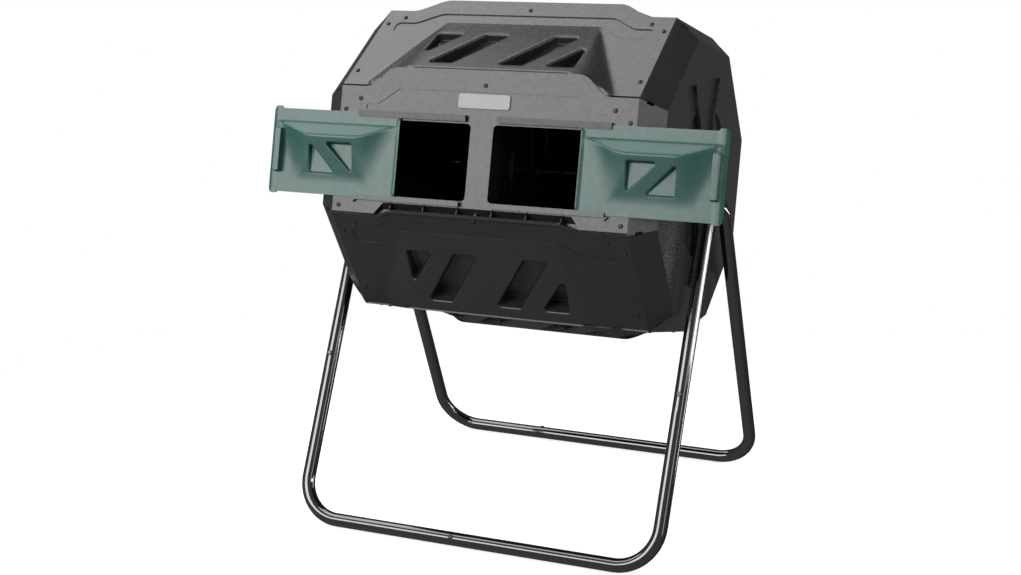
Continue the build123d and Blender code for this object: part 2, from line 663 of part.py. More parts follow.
for end, end_name in ((-1, "front"), (1, "rear")):
    for side, side_name in ((-1, "left"), (1, "right")):
        leg, length = leg_frame(side, end)
        seam = (1 - LEG_SEAM) * length
        tube_end = length - FLATTENED
        screw = seam + SCREW_UP / leg.y_dir.Z
        base_screw = BASE_SCREW_FRONT if end < 0 else BASE_SCREW_REAR
        outward = Vector(0, end * leg.y_dir.Z, abs(leg.y_dir.Y))
        screw_axis = Plane(origin=leg.from_local_coords((0, screw, 0)), z_dir=outward)
        base_axis = Plane(origin=(-base_screw, end * FOOT_Y, TUBE_RADIUS), z_dir=(0, end * 0.8, 0.6))
        paddle_x = side * (LEG_X + end * PADDLE / 2)
        up = leg.y_dir
        neck = leg.from_local_coords((0, tube_end + TAPERED, 0))
        tip = Vector(paddle_x, neck.Y, neck.Z)
        with BuildPart() as upper:
            with BuildSketch(Plane(origin=leg.from_local_coords((0, seam, 0)), x_dir=(1, 0, 0), z_dir=up)):
                Circle(TUBE_RADIUS)
            extrude(amount=tube_end - seam)
            with BuildSketch(Plane(origin=leg.from_local_coords((0, tube_end, 0)), x_dir=(1, 0, 0), z_dir=up)):
                Circle(TUBE_RADIUS)
            with BuildSketch(Plane(origin=tip, x_dir=(1, 0, 0), z_dir=up)):
                Ellipse(PADDLE / 2, PADDLE_HALF_WIDTH)
            loft()
            with BuildSketch(Plane(origin=(paddle_x - PADDLE / 2, 0, AXLE_HEIGHT), x_dir=(0, 1, 0), z_dir=(1, 0, 0))):
                Circle(PADDLE_EYE)
                with Locations((tip.Y, tip.Z - AXLE_HEIGHT)):
                    Circle(PADDLE_NECK)
                make_hull()
            extrude(amount=PADDLE)
            with BuildSketch(Plane(origin=leg.from_local_coords((0, seam, 0)), x_dir=(1, 0, 0), z_dir=up)):
                Circle(TUBE_RADIUS - TUBE_WALL)
            extrude(amount=tube_end - seam, mode=Mode.SUBTRACT)
            with BuildSketch(Plane(origin=(paddle_x, 0, AXLE_HEIGHT), z_dir=(1, 0, 0))):
                Circle(BOLT_RADIUS + 0.3)
            extrude(amount=10, both=True, mode=Mode.SUBTRACT)
            with BuildSketch(screw_axis):
                Circle(STAND_HOLE)
            extrude(amount=20, mode=Mode.SUBTRACT)
        save(upper, f"leg_upper_{end_name}_{side_name}")
        with BuildPart() as lower:
            with BuildLine(leg) as route:
                FilletPolyline((0, seam), (0, 0), (LEG_X, 0), radius=BEND)
            start = Plane(origin=route.line @ 0, z_dir=route.line % 0)
            with BuildSketch(start):
                Circle(TUBE_RADIUS)
                Circle(TUBE_RADIUS - TUBE_WALL, mode=Mode.SUBTRACT)
            sweep(path=route.line)
            with BuildSketch(Plane(origin=leg.from_local_coords((0, seam - 12, 0)), z_dir=up)):
                Circle(SPIGOT_RADIUS)
                Circle(SPIGOT_RADIUS - TUBE_WALL, mode=Mode.SUBTRACT)
            extrude(amount=SPIGOT + 12)
            with BuildSketch(Plane(origin=leg.from_local_coords((0, seam - 12, 0)), z_dir=up)):
                Circle(TUBE_RADIUS - 0.5)
                Circle(SPIGOT_RADIUS - TUBE_WALL, mode=Mode.SUBTRACT)
            extrude(amount=12)
            if side > 0:
                with BuildSketch(Plane(origin=(12, end * FOOT_Y, TUBE_RADIUS), z_dir=(-1, 0, 0))):
                    Circle(SPIGOT_RADIUS)
                    Circle(SPIGOT_RADIUS - TUBE_WALL, mode=Mode.SUBTRACT)
                extrude(amount=base_screw + 26)
                with BuildSketch(Plane(origin=(12, end * FOOT_Y, TUBE_RADIUS), z_dir=(-1, 0, 0))):
                    Circle(TUBE_RADIUS - 0.5)
                    Circle(SPIGOT_RADIUS - TUBE_WALL, mode=Mode.SUBTRACT)
                extrude(amount=12)
            for drill in (screw_axis, base_axis):
                with BuildSketch(drill):
                    Circle(STAND_HOLE)
                extrude(amount=20, mode=Mode.SUBTRACT)
        save(lower, f"leg_lower_{end_name}_{side_name}")

with BuildPart() as stand_screws:
    for end in (-1, 1):
        spots = []
        for side in (-1, 1):
            leg, length = leg_frame(side, end)
            screw = (1 - LEG_SEAM) * length + SCREW_UP / leg.y_dir.Z
            outward = Vector(0, end * leg.y_dir.Z, abs(leg.y_dir.Y))
            spots.append((leg.from_local_coords((0, screw, 0)), outward))
        base_screw = BASE_SCREW_FRONT if end < 0 else BASE_SCREW_REAR
        spots.append((Vector(-base_screw, end * FOOT_Y, TUBE_RADIUS), Vector(0, end * 0.8, 0.6)))
        for spot, outward in spots:
            with BuildSketch(Plane(origin=spot + outward * (TUBE_RADIUS + 0.1), z_dir=outward)):
                Circle(STAND_HEAD)
            extrude(amount=2.8, taper=15)
            with BuildSketch(Plane(origin=spot + outward * (TUBE_RADIUS + 0.1), z_dir=outward)):
                Circle(STAND_SHANK)
            extrude(amount=-8)
save(stand_screws, "stand_screws")

with BuildPart() as axle_tube:
    with BuildSketch(axle_plane(-AXLE_HALF, 1)):
        Circle(TUBE_RADIUS)
        Circle(TUBE_RADIUS - AXLE_WALL, mode=Mode.SUBTRACT)
    extrude(amount=2 * AXLE_HALF)
save(axle_tube, "axle_tube")

for side_name, side in (("left", -1), ("right", 1)):
    outside = LEG_X + PADDLE
    with BuildPart() as plug:
        with BuildSketch(axle_plane(AXLE_HALF - PLUG, side)):
            Circle(TUBE_RADIUS - AXLE_WALL - SEAT)
            Circle(BOLT_RADIUS + 0.1, mode=Mode.SUBTRACT)
        extrude(amount=PLUG)
    save(plug, f"axle_plug_{side_name}")
    with BuildPart() as washer:
        with BuildSketch(axle_plane(outside, side)):
            Circle(WASHER[0])
            Circle(BOLT_RADIUS + 0.3, mode=Mode.SUBTRACT)
        extrude(amount=WASHER[1])
    save(washer, f"axle_washer_{side_name}")
    with BuildPart() as bolt:
        with BuildSketch(axle_plane(outside + WASHER[1], side)):
            RegularPolygon(BOLT_HEAD[0], 6)
        extrude(amount=BOLT_HEAD[1])
        with BuildSketch(axle_plane(AXLE_HALF - PLUG + 4, side)):
            Circle(BOLT_RADIUS)
        extrude(amount=outside + WASHER[1] - AXLE_HALF + PLUG - 4)
    save(bolt, f"axle_bolt_{side_name}")
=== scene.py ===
"""Two-chamber compost tumbler: an eight-sided moulded drum with sliding doors on a steel tube stand.

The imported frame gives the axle, the bodies and the plain structural pieces. This script adds the drawn
skins of the panels and doors, the screws, every finish, the camera and the studio.
"""

import json
import logging
import math
from collections.abc import Callable, Sequence
from dataclasses import dataclass, field
from enum import Enum

import bmesh
import bpy
import numpy as np
from mathutils import Matrix, Vector
from mathutils.geometry import delaunay_2d_cdt

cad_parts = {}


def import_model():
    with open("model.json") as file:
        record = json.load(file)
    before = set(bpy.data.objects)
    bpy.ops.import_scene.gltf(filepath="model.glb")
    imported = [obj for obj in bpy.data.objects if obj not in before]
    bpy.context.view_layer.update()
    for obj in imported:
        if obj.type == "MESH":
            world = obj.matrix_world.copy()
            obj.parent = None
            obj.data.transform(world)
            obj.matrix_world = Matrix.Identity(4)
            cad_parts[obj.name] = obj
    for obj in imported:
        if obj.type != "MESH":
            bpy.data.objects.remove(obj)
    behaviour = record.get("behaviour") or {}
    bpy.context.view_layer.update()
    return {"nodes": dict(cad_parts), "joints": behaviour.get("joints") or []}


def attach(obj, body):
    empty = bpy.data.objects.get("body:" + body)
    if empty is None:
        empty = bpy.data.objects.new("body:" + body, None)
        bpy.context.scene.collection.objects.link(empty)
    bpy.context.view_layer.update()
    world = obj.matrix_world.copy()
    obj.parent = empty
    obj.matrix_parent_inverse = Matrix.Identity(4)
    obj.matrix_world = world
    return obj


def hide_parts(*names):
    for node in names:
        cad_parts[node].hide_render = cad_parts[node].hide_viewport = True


LOG = logging.getLogger("tumbler")
MM = 0.001
SHARP_ANGLE = 34.0  # a drawn skin stays crisp at edges sharper than this, degrees
BROKEN_ANGLE = 35.0  # edges sharper than this are broken, degrees
BROKEN_STEPS = 2
JOIN_REACH = 0.02  # packed points closer than this are one point, millimetres
FLAT_ANGLE = 0.6  # packed faces within this angle are one face, degrees
LEFT_DOOR_AT = 157.0  # inner edge of the open door from the drum's middle, millimetres
RIGHT_DOOR_AT = 186.0

Outline = list[tuple[float, float]]  # closed, and its last point isn't repeated
HeightRule = Callable[[np.ndarray, np.ndarray], np.ndarray]
Placement = Callable[[np.ndarray], np.ndarray]


# ---------------------------------------------------------------- finishes
def linear(code: str) -> tuple[float, float, float, float]:
    """Turn an sRGB hex colour to linear light.

    Args:
        code: Six hex digits with a leading hash.

    Returns:
        Red, green, blue and an alpha of one.
    """
    parts = [int(code[i : i + 2], 16) / 255 for i in (1, 3, 5)]
    values = [c / 12.92 if c <= 0.04045 else ((c + 0.055) / 1.055) ** 2.4 for c in parts]
    return (*values, 1.0)


def add_node(
    tree: bpy.types.NodeTree, kind: str, settings: dict | None = None, links: dict | None = None
) -> bpy.types.Node:
    """Add one shader node.

    Args:
        tree: Node tree that gets the node.
        kind: Blender's node type.
        settings: Values for inputs, by name or number, or for the node's own properties.
        links: Output sockets that feed the inputs, by name or number.

    Returns:
        The new node.
    """
    node = tree.nodes.new(kind)
    for key, value in (settings or {}).items():
        if isinstance(key, int) or key in node.inputs:
            node.inputs[key].default_value = value
        else:
            setattr(node, key, value)
    for key, socket in (links or {}).items():
        tree.links.new(socket, node.inputs[key])
    return node


def new_material(name: str) -> tuple[bpy.types.Material, bpy.types.NodeTree]:
    """Start an empty node material.

    Args:
        name: Name of the material.

    Returns:
        The material and its node tree.
    """
    material = bpy.data.materials.new(name)
    material.use_nodes = True
    material.node_tree.nodes.clear()
    return material, material.node_tree


@dataclass(frozen=True)
class MouldedPolypropylene:
    """Injection-moulded polypropylene from a spark-eroded mould: a satin skin with a fine, even grain.

    The grain breaks reflections into a soft sheen; convex edges are painted paler as a highlight.
    """

    name: str
    slot: str
    colour: str
    pale: str
    roughness: float
    ior: float = 1.49
    grain_mm: float = 1.2  # real grain is about 0.1 mm; drawn coarser so that it shows
    grain_depth_mm: float = 0.002
    mottle_mm: float = 70.0  # patches where the pigment is denser
    flow_mm: float = 9.0  # marks of the melt's flow, which vary the sheen
    sheen_spread: float = 0.035

    def build(self) -> bpy.types.Material:
        """Make the material.

        Returns:
            The new material.
        """
        material, tree = new_material(self.name)
        place = add_node(tree, "ShaderNodeTexCoord").outputs["Object"]
        grain = add_node(
            tree,
            "ShaderNodeTexNoise",
            {"Scale": 1 / (self.grain_mm * MM), "Detail": 3.0, "Roughness": 0.6},
            {"Vector": place},
        )
        mottle = add_node(
            tree, "ShaderNodeTexNoise", {"Scale": 1 / (self.mottle_mm * MM), "Detail": 4.0}, {"Vector": place}
        )
        flow = add_node(
            tree, "ShaderNodeTexNoise", {"Scale": 1 / (self.flow_mm * MM), "Detail": 5.0}, {"Vector": place}
        )
        edge = add_node(tree, "ShaderNodeNewGeometry").outputs["Pointiness"]
        # Painted highlight: convex edges, found by pointiness, turn toward the pale colour as if lit.
        painted_edge_highlight = add_node(
            tree,
            "ShaderNodeMapRange",
            {"From Min": 0.53, "From Max": 0.62, "To Min": 0.0, "To Max": 0.35},
            {"Value": edge},
        )
        tone = add_node(
            tree,
            "ShaderNodeMapRange",
            {"From Min": 0.35, "From Max": 0.7, "To Min": 0.0, "To Max": 0.30},
            {"Value": mottle.outputs["Fac"]},
        )
        # The pale colour comes from random mottle and from the painted edge highlight.
        mottle_and_edge_highlight = add_node(
            tree,
            "ShaderNodeMath",
            {"operation": "MAXIMUM"},
            {0: painted_edge_highlight.outputs["Result"], 1: tone.outputs["Result"]},
        )
        colour = add_node(
            tree,
            "ShaderNodeMix",
            {"data_type": "RGBA", 6: linear(self.colour), 7: linear(self.pale)},
            {0: mottle_and_edge_highlight.outputs["Value"]},
        )
        sheen = add_node(
            tree,
            "ShaderNodeMapRange",
            {
                "From Min": 0.3,
                "From Max": 0.7,
                "To Min": self.roughness - self.sheen_spread,
                "To Max": self.roughness + self.sheen_spread,
            },
            {"Value": flow.outputs["Fac"]},
        )
        bump = add_node(
            tree,
            "ShaderNodeBump",
            {"Strength": 0.5, "Distance": self.grain_depth_mm * MM},
            {"Height": grain.outputs["Fac"]},
        )
        shader = add_node(
            tree,
            "ShaderNodeBsdfPrincipled",
            {"IOR": self.ior},
            {
                "Base Color": colour.outputs[2],
                "Roughness": sheen.outputs["Result"],
                "Normal": bump.outputs["Normal"],
            },
        )
        add_node(tree, "ShaderNodeOutputMaterial", links={"Surface": shader.outputs["BSDF"]})
        return material


@dataclass(frozen=True)
class PowderCoatedSteel:
    """Gloss black powder coat baked on steel tube: deep, wet-looking and very slightly rippled."""

    name: str
    slot: str
    colour: str
    dust: str
    roughness: float = 0.08
    ior: float = 1.7
    ripple_mm: float = 8.0
    ripple_depth_mm: float = 0.008
    haze_mm: float = 60.0  # thin dust on the gloss

    def build(self) -> bpy.types.Material:
        """Make the material.

        Returns:
            The new material.
        """
        material, tree = new_material(self.name)
        place = add_node(tree, "ShaderNodeTexCoord").outputs["Object"]
        ripple = add_node(
            tree, "ShaderNodeTexNoise", {"Scale": 1 / (self.ripple_mm * MM), "Detail": 2.0}, {"Vector": place}
        )
        haze = add_node(
            tree, "ShaderNodeTexNoise", {"Scale": 1 / (self.haze_mm * MM), "Detail": 5.0}, {"Vector": place}
        )
        film = add_node(
            tree,
            "ShaderNodeMapRange",
            {"From Min": 0.4, "From Max": 0.8, "To Min": 0.0, "To Max": 0.12},
            {"Value": haze.outputs["Fac"]},
        )
        colour = add_node(
            tree,
            "ShaderNodeMix",
            {"data_type": "RGBA", 6: linear(self.colour), 7: linear(self.dust)},
            {0: film.outputs["Result"]},
        )
        gloss = add_node(
            tree,
            "ShaderNodeMapRange",
            {"From Min": 0.3, "From Max": 0.8, "To Min": self.roughness, "To Max": self.roughness + 0.06},
            {"Value": haze.outputs["Fac"]},
        )
        bump = add_node(
            tree,
            "ShaderNodeBump",
            {"Strength": 0.35, "Distance": self.ripple_depth_mm * MM},
            {"Height": ripple.outputs["Fac"]},
        )
        shader = add_node(
            tree,
            "ShaderNodeBsdfPrincipled",
            {"IOR": self.ior, "Coat Weight": 1.0, "Coat Roughness": 0.05},
            {
                "Base Color": colour.outputs[2],
                "Roughness": gloss.outputs["Result"],
                "Normal": bump.outputs["Normal"],
            },
        )
        add_node(tree, "ShaderNodeOutputMaterial", links={"Surface": shader.outputs["BSDF"]})
        return material


@dataclass(frozen=True)
class WorkedMetal:
    """Bare or blackened metal: a lay of fine scratches left by brushing or forming."""

    name: str
    slot: str
    colour: str
    worn: str
    roughness: float
    lay_mm: float  # a scratch is about 0.05 mm wide; drawn coarser so that it shows
    stretch: tuple[float, float, float] = (1.0, 1.0, 1.0)
    bare: float = 1.0  # 0 where a lacquer hides the metal
    scratch_depth_mm: float = 0.02
    gloss_spread: float = 0.08

    def build(self) -> bpy.types.Material:
        """Make the material.

        Returns:
            The new material.
        """
        material, tree = new_material(self.name)
        place = add_node(tree, "ShaderNodeTexCoord").outputs["Object"]
        along = add_node(tree, "ShaderNodeMapping", {"Scale": self.stretch}, {"Vector": place})
        lay = add_node(
            tree,
            "ShaderNodeTexNoise",
            {"Scale": 1 / (self.lay_mm * MM), "Detail": 6.0, "Roughness": 0.7},
            {"Vector": along.outputs["Vector"]},
        )
        colour = add_node(
            tree,
            "ShaderNodeMix",
            {"data_type": "RGBA", 6: linear(self.colour), 7: linear(self.worn)},
            {0: lay.outputs["Fac"]},
        )
        gloss = add_node(
            tree,
            "ShaderNodeMapRange",
            {"To Min": self.roughness - self.gloss_spread, "To Max": self.roughness + self.gloss_spread},
            {"Value": lay.outputs["Fac"]},
        )
        bump = add_node(
            tree,
            "ShaderNodeBump",
            {"Strength": 0.25, "Distance": self.scratch_depth_mm * MM},
            {"Height": lay.outputs["Fac"]},
        )
        shader = add_node(
            tree,
            "ShaderNodeBsdfPrincipled",
            {"Metallic": self.bare},
            {
                "Base Color": colour.outputs[2],
                "Roughness": gloss.outputs["Result"],
                "Normal": bump.outputs["Normal"],
            },
        )
        add_node(tree, "ShaderNodeOutputMaterial", links={"Surface": shader.outputs["BSDF"]})
        return material


class Finish(Enum):
    """The finishes found on the tumbler, each named for its real material."""

    # Carbon-black polypropylene: nearly black, grey where it takes the light.
    DRUM_POLYPROPYLENE = MouldedPolypropylene(
        "black_polypropylene", "drum_plastic", "#282829", "#333334", roughness=0.27
    )
    # Pigmented polypropylene: a greyed sea green.
    DOOR_POLYPROPYLENE = MouldedPolypropylene(
        "green_polypropylene", "door_plastic", "#2b534c", "#38625b", roughness=0.31
    )
    # Nylon wears smoother than polypropylene and looks a little waxy.
    NYLON = MouldedPolypropylene("black_nylon", "bushing_plastic", "#202021", "#2c2c2d", roughness=0.36)
    # Powder coat over steel tube.
    POWDER_COAT = PowderCoatedSteel("black_powder_coat", "stand_enamel", "#070708", "#2a2a2a")
    # Black oxide on steel screws: dark, with bright glints on the edges.
    BLACK_OXIDE = WorkedMetal("black_oxide_steel", "screw_steel", "#2e2e30", "#5a5a5c", 0.3, 1.2)
    # Aluminium name plate under a satin silver lacquer, brushed along the drum.
    LACQUERED_ALUMINIUM = WorkedMetal(
        "lacquered_aluminium", "badge_metal", "#979795", "#a9a9a6", 0.42, 1.0, (0.04, 1.0, 1.0), 0.0
    )


class Palette:
    """Builds each finish once and puts it on pieces."""

    def __init__(self) -> None:
        """Start with nothing built."""
        self.built: dict[Finish, bpy.types.Material] = {}

    def dress(self, piece: bpy.types.Object, finish: Finish) -> None:
        """Give a piece one finish, over all of it.

        Args:
            piece: Mesh object to dress.
            finish: The finish that it gets.
        """
        if finish not in self.built:
            self.built[finish] = finish.value.build()
        piece.data.materials.clear()
        piece.data.materials.append(self.built[finish])


# ---------------------------------------------------------------- outlines and skins
def soft_min(a: np.ndarray, b: np.ndarray, blend: np.ndarray | float) -> np.ndarray:
    """Lower of two heights, rounded over where they meet.

    Args:
        a: First height.
        b: Second height.
        blend: Size of the rounding, in the heights' units.

    Returns:
        The blended height.
    """
    blend = np.maximum(blend, 1e-6)
    gap = np.maximum(blend - np.abs(a - b), 0)
    return np.minimum(a, b) - gap * gap / (4 * blend)


def soft_max(a: np.ndarray, b: np.ndarray, blend: np.ndarray | float) -> np.ndarray:
    """Higher of two heights, rounded where they meet."""
    return -soft_min(-a, -b, blend)


def ease(x: np.ndarray) -> np.ndarray:
    """Smooth rise from 0 to 1 as x goes from 0 to 1."""
    x = np.clip(x, 0, 1)
    return x * x * (3 - 2 * x)


def rounded(corners: Outline, radius: float = 0.0, run: float = 0.0, steps: int = 5) -> Outline:
    """Round every corner of a closed outline with an arc.

    Args:
        corners: Corner points in order.
        radius: Radius of each arc.
        run: Length that each arc takes from the sides at its corner, used when no radius is given.
        steps: Pieces in each arc.

    Returns:
        The outline with its arcs' points.
    """
    points: Outline = []
    count = len(corners)
    for i, corner in enumerate(corners):
        here = Vector(corner)
        to_last = (Vector(corners[i - 1]) - here).normalized()
        to_next = (Vector(corners[(i + 1) % count]) - here).normalized()
        half = to_last.angle(to_next) / 2
        reach = radius / math.tan(half) if radius else run
        centre = here + (to_last + to_next).normalized() * (reach / math.cos(half))
        start = here + to_last * reach - centre
        turn = (math.pi - 2 * half) * (1 if to_last.cross(to_next) < 0 else -1)
        for k in range(steps + 1):
            angle = turn * k / steps
            cos, sin = math.cos(angle), math.sin(angle)
            across, up = start.x * cos - start.y * sin, start.x * sin + start.y * cos
            points.append((centre.x + across, centre.y + up))
    return points


def spaced(points: Outline, pitch: float) -> Outline:
    """Add points along a closed outline.

    Args:
        points: The outline.
        pitch: Longest distance left between neighbours.

    Returns:
        The outline with the added points.
    """
    result: Outline = []
    for i, here in enumerate(points):
        after = points[(i + 1) % len(points)]
        run = math.dist(here, after)
        pieces = max(1, math.ceil(run / pitch))
        result += [
            (here[0] + (after[0] - here[0]) * k / pieces, here[1] + (after[1] - here[1]) * k / pieces)
            for k in range(pieces)
        ]
    return result


def inset(points: Outline, distance: float) -> Outline:
    """Move a counter-clockwise outline inward.

    Args:
        points: The outline.
        distance: How far each side moves, negative for outward.

    Returns:
        The moved outline, with as many points.
    """
    result: Outline = []
    count = len(points)
    sharpest = 0.4  # keeps the point of a narrow corner from running away
    for i, here in enumerate(points):
        before, after = Vector(points[i - 1]), Vector(points[(i + 1) % count])
        first = (Vector(here) - before).normalized()
        second = (after - Vector(here)).normalized()
        normal = Vector((-first.y - second.y, first.x + second.x)).normalized()
        share = max(sharpest, normal.dot(Vector((-first.y, first.x))))
        moved = Vector(here) + normal * (distance / share)
        result.append((moved.x, moved.y))
    return result


def signed_area(points: Outline) -> float:
    """Area of an outline, positive when it runs counter-clockwise."""
    return sum(a[0] * b[1] - b[0] * a[1] for a, b in zip(points, points[1:] + points[:1])) / 2


def inside(points: np.ndarray, outline: Outline) -> np.ndarray:
    """Tell which points lie inside an outline.

    Args:
        points: N by 2 array.
        outline: Closed outline.

    Returns:
        One truth value for each point.
    """
    hit = np.zeros(len(points), bool)
    for a, b in zip(outline, outline[1:] + outline[:1]):
        crosses = (a[1] > points[:, 1]) != (b[1] > points[:, 1])
        level = (points[:, 1] - a[1]) / ((b[1] - a[1]) or 1e-9)
        hit ^= crosses & (points[:, 0] < a[0] + level * (b[0] - a[0]))
    return hit


class Level(Enum):
    """What a step of a feature's wall is measured from."""

    SURFACE = "surface"
    FACE = "face"


@dataclass(frozen=True)
class Step:
    """One ring of a feature's wall: how far in from its outline, and at what height."""

    inward: float
    height: float
    level: Level = Level.SURFACE


@dataclass(frozen=True)
class Feature:
    """A pocket, channel or bar let into a skin, drawn as rings from its outline to its floor."""

    outline: Outline
    steps: tuple[Step, ...]

    def rings(self, pitch: float) -> list[tuple[Outline, Step]]:
        """Draw the rings, from the surface to the floor.

        Args:
            pitch: Longest distance between neighbouring points.

        Returns:
            Outline and step of each ring.
        """
        base = self.outline if signed_area(self.outline) > 0 else self.outline[::-1]
        base = spaced(base, pitch)
        return [(inset(base, step.inward), step) for step in self.steps]


def pocket_steps(floor: float, edge: float, draft: float, level: Level) -> tuple[Step, ...]:
    """Rings of a pocket with a rounded rim, a drafted wall and a filleted floor.

    Args:
        floor: Height of the floor.
        edge: Radius of the rim.
        draft: How far the wall leans in on its way down.
        level: What the floor's height is measured from.

    Returns:
        The steps in order.
    """
    rim = [Step(-edge * (1 - math.sin(a)), -edge * (1 - math.cos(a))) for a in np.linspace(0, math.pi / 2, 5)]
    foot = [Step(draft, floor + edge, level), Step(draft + 0.3 * edge, floor + 0.3 * edge, level)]
    return (*rim, *foot, Step(draft + edge, floor, level))


@dataclass
class Skin:
    """A moulded wall over one drum face, drawn from a height rule and its features, in millimetres."""

    outline: Outline
    height: HeightRule
    features: Sequence[Feature]
    pitch: float = 5.0
    wall: float = 3.0
    fine: tuple[float, float] = (0.0, 0.0)  # heights between which the rows lie twice as close
    clear: float = 0.4  # closest that a grid point comes to a loop, in pitches

    def mesh(self, name: str, place: Placement) -> bpy.types.Mesh:
        """Build the outer surface.

        Args:
            name: Name of the mesh.
            place: Turns face coordinates in millimetres into the object's frame in metres.

        Returns:
            The mesh, in metres.
        """
        border = spaced(self.outline, self.pitch)
        ringed = [feature.rings(self.pitch) for feature in self.features]
        loops = [border] + [rings[0][0] for rings in ringed]
        points, faces, where = self._cut(loops)
        heights = self.height(points[:, 0], points[:, 1])
        verts = [(*p, h) for p, h in zip(points, heights)]
        start = len(border)
        for rings in ringed:
            last = [where[start + i] for i in range(len(rings[0][0]))]
            start += len(last)
            for loop, step in rings[1:]:
                last = self._ring(verts, faces, last, loop, step)
            faces.append(last)
        mesh = bpy.data.meshes.new(name)
        mesh.from_pydata([tuple(point) for point in place(np.array(verts))], [], faces)
        mesh.validate()
        drop_loose(mesh)
        mesh.shade_smooth()
        mesh.set_sharp_from_angle(angle=math.radians(SHARP_ANGLE))
        return mesh

    def _cut(self, loops: list[Outline]) -> tuple[np.ndarray, list[list[int]], dict[int, int]]:
        """Fill the skin with triangles, leaving the features open.

        Args:
            loops: The skin's border, then each feature's outline.

        Returns:
            The flat points, the triangles, and where each point of the loops went.
        """
        flat = [point for loop in loops for point in loop] + [tuple(point) for point in self._grid(loops)]
        edges, start = [], 0
        for loop in loops:
            edges += [(start + i, start + (i + 1) % len(loop)) for i in range(len(loop))]
            start += len(loop)
        border = list(range(len(loops[0])))
        cut = delaunay_2d_cdt([Vector(point) for point in flat], edges, [border], 1, 1e-4)
        points = np.array([tuple(point) for point in cut[0]])
        where = {source: out for out, sources in enumerate(cut[3]) for source in sources}
        faces = np.array([face for face in cut[2] if len(face) == 3])
        middle = points[faces].mean(axis=1)
        keep = np.ones(len(faces), bool)
        for loop in loops[1:]:
            keep &= ~inside(middle, loop)
        return points, [list(face) for face in faces[keep]], where

    def _ring(self, verts: list, faces: list, last: list[int], loop: Outline, step: Step) -> list[int]:
        """Add one ring of a feature and the quads that join it to the ring before.

        Args:
            verts: Points so far, which the ring's points join.
            faces: Faces so far, which the quads join.
            last: The ring before, as places in verts.
            loop: Outline of the new ring.
            step: Its height.

        Returns:
            The new ring, as places in verts.
        """
        flat = np.array(loop)
        if step.level is Level.SURFACE:
            heights = self.height(flat[:, 0], flat[:, 1]) + step.height
        else:
            heights = np.full(len(flat), step.height)
        ring = list(range(len(verts), len(verts) + len(flat)))
        verts.extend((*p, h) for p, h in zip(flat, heights))
        count = len(ring)
        faces.extend([last[i], last[(i + 1) % count], ring[(i + 1) % count], ring[i]] for i in range(count))
        return ring

    def _grid(self, loops: list[Outline]) -> np.ndarray:
        """Lay out the points that fill the skin, clear of its loops.

        Args:
            loops: The skin's border, then each feature's outline.

        Returns:
            N by 2 array of points.
        """
        border = np.array(loops[0])
        low, high = border.min(0), border.max(0)
        across = np.linspace(low[0], high[0], max(2, round((high[0] - low[0]) / self.pitch)) + 1)
        up = np.linspace(low[1], high[1], max(2, round((high[1] - low[1]) / self.pitch)) + 1)
        extra = np.arange(*self.fine, self.pitch / 2) if self.fine[1] > self.fine[0] else up[:0]
        rows = np.concatenate([[y for y in up[1:-1] if not self.fine[0] <= y <= self.fine[1]], extra])
        grid = np.array([(x, y) for x in across[1:-1] for y in rows])
        keep = inside(grid, loops[0])
        for loop in loops[1:]:
            keep &= ~inside(grid, loop)
        grid = grid[keep]
        for loop in loops:
            edge = np.array(loop)
            near = np.array([np.min(np.abs(edge - p).max(axis=1)) for p in grid])
            grid = grid[near > self.clear * self.pitch]
        return grid


def drop_loose(mesh: bpy.types.Mesh) -> None:
    """Remove the points that no face uses.

    Args:
        mesh: Mesh to clean.
    """
    work = bmesh.new()
    work.from_mesh(mesh)
    for vertex in [v for v in work.verts if not v.link_faces]:
        work.verts.remove(vertex)
    work.to_mesh(mesh)
    work.free()


@dataclass(frozen=True)
class DrumFace:
    """One of the drum's eight faces: u along the axle, v up the face, w outward."""

    angle: float
    axle: tuple[float, float, float]
    tilt: float = 12.87
    apothem: float = 278.0

    def place(self, points: np.ndarray) -> np.ndarray:
        """Set points of the face in the object's frame.

        Args:
            points: N by 3 array of u, v and w in millimetres.

        Returns:
            The same points in metres.
        """
        lean = math.radians(self.tilt + self.angle)
        out = np.array((0.0, -math.cos(lean), math.sin(lean)))
        up = np.array((0.0, math.sin(lean), math.cos(lean)))
        along = np.array((1.0, 0.0, 0.0))
        u, v, w = points[:, :1], points[:, 1:2], points[:, 2:3] + self.apothem
        return np.array(self.axle) + (u * along + v * up + w * out) * MM


def add_piece(name: str, mesh: bpy.types.Mesh, body: str) -> bpy.types.Object:
    """Link a mesh to the scene as a piece that rides on a body.

    Args:
        name: Name of the piece.
        mesh: Its mesh, in the object's frame.
        body: The body that carries it.

    Returns:
        The new object.
    """
    piece = bpy.data.objects.new(name, mesh)
    bpy.context.scene.collection.objects.link(piece)
    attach(piece, body)
    LOG.info("%s rides on %s with %d points", name, body, len(mesh.vertices))
    return piece


def thicken(piece: bpy.types.Object, wall: float, edge: float = 0.7) -> None:
    """Give a skin its wall thickness and break its edges.

    Args:
        piece: The skin.
        wall: Thickness in millimetres, inward.
        edge: Width of the broken edge in millimetres.
    """
    solid = piece.modifiers.new("wall", "SOLIDIFY")
    solid.thickness = wall * MM
    solid.offset = -1
    solid.use_even_offset = False
    soften(piece, edge, weld=False)
    flat = piece.modifiers.new("flat", "WEIGHTED_NORMAL")
    flat.keep_sharp = True


